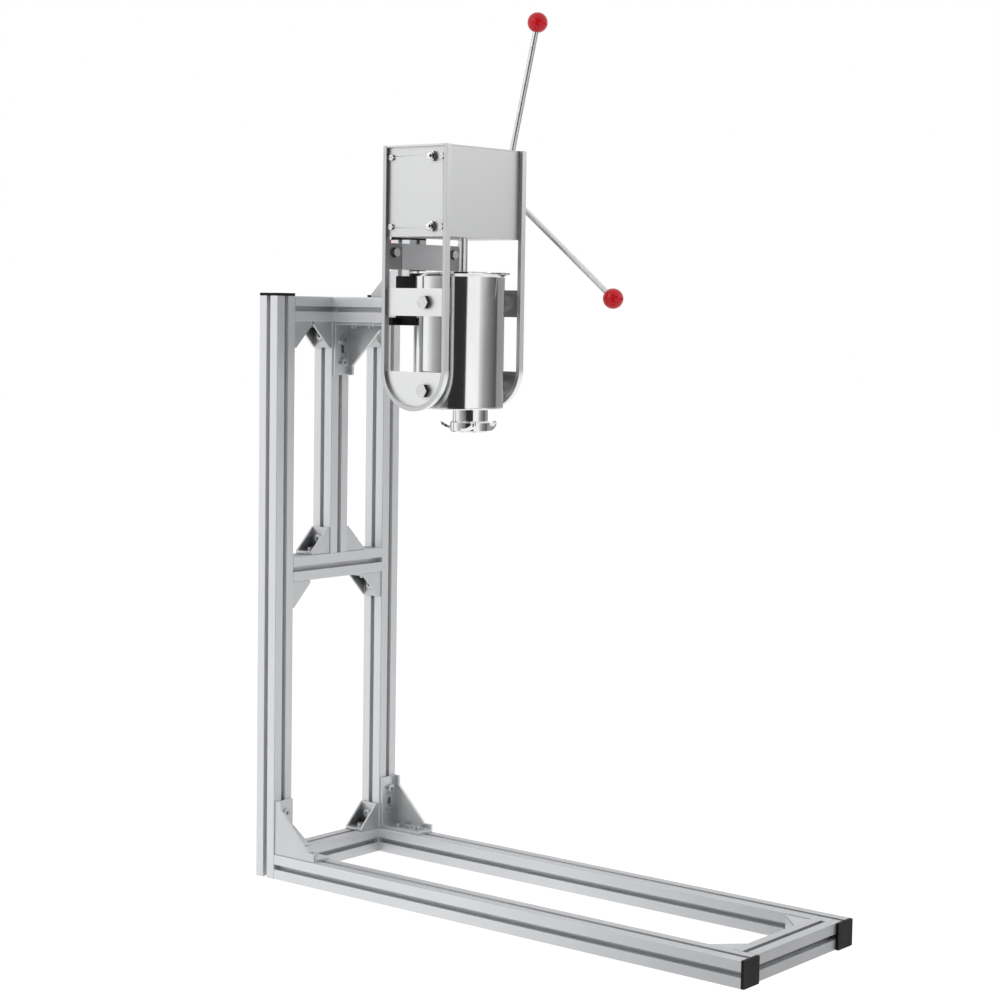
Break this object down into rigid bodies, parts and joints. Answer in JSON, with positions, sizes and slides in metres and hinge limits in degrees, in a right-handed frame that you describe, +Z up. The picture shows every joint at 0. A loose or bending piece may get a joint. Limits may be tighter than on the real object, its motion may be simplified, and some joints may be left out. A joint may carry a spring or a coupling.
{
  "type": "churro maker",
  "caption": "Floor-standing churro press: T-slot aluminium stand, steel barrel with wing-nut outlet, rack-driven piston and a three-arm hand wheel with ball grips.",
  "frame": {"origin": "on the floor, under the middle of the base cross rail that joins the two posts, at the mouth of its underside groove", "axes": "+X from the posts to the free end of the base, +Y across the stand towards the hand wheel, +Z up"},
  "size_m": [0.9275, 0.3085, 1.3806],
  "materials": {
    "profile": "clear anodised, satin",
    "die_cast": "die cast, tumbled",
    "black_plastic": "moulded, fine grain",
    "zinc_screws": "zinc plated",
    "bolt_steel": "stainless, turned",
    "brushed_steel": "stainless flat bar, brushed",
    "sheet_steel": "stainless sheet, fine brushed",
    "polished_steel": "stainless, polished",
    "grey_plate": "grey satin",
    "gear_steel": "machined",
    "bronze": "turned bearing bronze",
    "white_plastic": "food-grade, machined",
    "seal_rubber": "moulded",
    "red_ball": "high gloss"
  },
  "bodies": {
    "stand_and_press": {"post_near": "profile", "post_far": "profile", "rail_near": "profile", "rail_far": "profile", "base_cross_rail": "profile", "end_cross_rail": "profile", "mid_cross_rail": "profile", "top_cross_rail": "profile", "mid_post": "profile", "arm_profile": "profile", "mount_post": "profile", "profile_end_caps": "black_plastic", "corner_brackets": "die_cast", "gusset_near": "die_cast", "gusset_far": "die_cast", "gusset_arm": "die_cast", "frame_screws": "zinc_screws", "t_slot_nuts": "zinc_screws", "cross_bar": "brushed_steel", "clamp_plate": "grey_plate", "mount_screws": "zinc_screws", "strap_bolts": "bolt_steel", "barrel_saddle": "black_plastic", "strap_near": "brushed_steel", "strap_far": "brushed_steel", "cover_near": "sheet_steel", "cover_far": "sheet_steel", "cover_screws": "bolt_steel", "casing_front": "sheet_steel", "casing_back": "sheet_steel", "top_plate": "sheet_steel", "bottom_plate": "sheet_steel", "roller_axles": "bolt_steel", "axle_spacers": "bolt_steel", "dome_nuts": "polished_steel", "shaft_bearing_near": "bronze", "shaft_bearing_far": "bronze", "mid_plates": "sheet_steel", "low_plates": "sheet_steel", "barrel_bolts": "bolt_steel", "barrel": "polished_steel", "barrel_bottom": "polished_steel", "barrel_lugs": "polished_steel", "outlet_neck": "polished_steel"},
    "hand_wheel": {"wheel_shaft": "bolt_steel", "pinion": "gear_steel", "pinion_key": "gear_steel", "shaft_collars": "bolt_steel", "wheel_hub": "brushed_steel", "wheel_arms": "polished_steel", "wheel_balls": "red_ball"},
    "rack_and_piston": {"rack_rod": "gear_steel", "piston": "white_plastic", "piston_seal": "seal_rubber", "piston_nut": "bolt_steel"},
    "roller_upper": {"guide_roller_upper": "white_plastic"},
    "roller_lower": {"guide_roller_lower": "white_plastic"},
    "die": {"shaping_die": "polished_steel", "die_gasket": "white_plastic"},
    "outlet_nut": {"wing_nut": "polished_steel"}
  },
  "joints": [
    {"name": "wheel_turn", "type": "hinge", "parent": "stand_and_press", "child": "hand_wheel", "pos_m": [0.2525, 0.1278, 1.1036], "axis": [0, -1, 0], "range_deg": [0, 859.4]},
    {"name": "rack_lift", "type": "slide", "parent": "stand_and_press", "child": "rack_and_piston", "axis": [0, 0, 1], "range_m": [0, 0.24]},
    {"name": "upper_roller_spin", "type": "hinge", "parent": "stand_and_press", "child": "roller_upper", "pos_m": [0.28805, 0, 1.142], "axis": [0, 1, 0], "range_deg": [0, 2116]},
    {"name": "lower_roller_spin", "type": "hinge", "parent": "stand_and_press", "child": "roller_lower", "pos_m": [0.28805, 0, 1.037], "axis": [0, 1, 0], "range_deg": [0, 2116]},
    {"name": "die_drop", "type": "slide", "parent": "stand_and_press", "child": "die", "axis": [0, 0, -1], "range_m": [0, 0.0117]},
    {"name": "nut_turn", "type": "hinge", "parent": "die", "child": "outlet_nut", "pos_m": [0.2935, 0, 0.7331], "axis": [0, 0, -1], "range_deg": [0, 1400]}
  ],
  "couplings": [
    {"joint": "rack_lift", "follows": "wheel_turn", "m_per_rad": 0.016},
    {"joint": "upper_roller_spin", "follows": "wheel_turn", "ratio": 2.4615},
    {"joint": "lower_roller_spin", "follows": "wheel_turn", "ratio": 2.4615},
    {"joint": "die_drop", "follows": "nut_turn", "m_per_rad": 0.00047746}
  ]
}
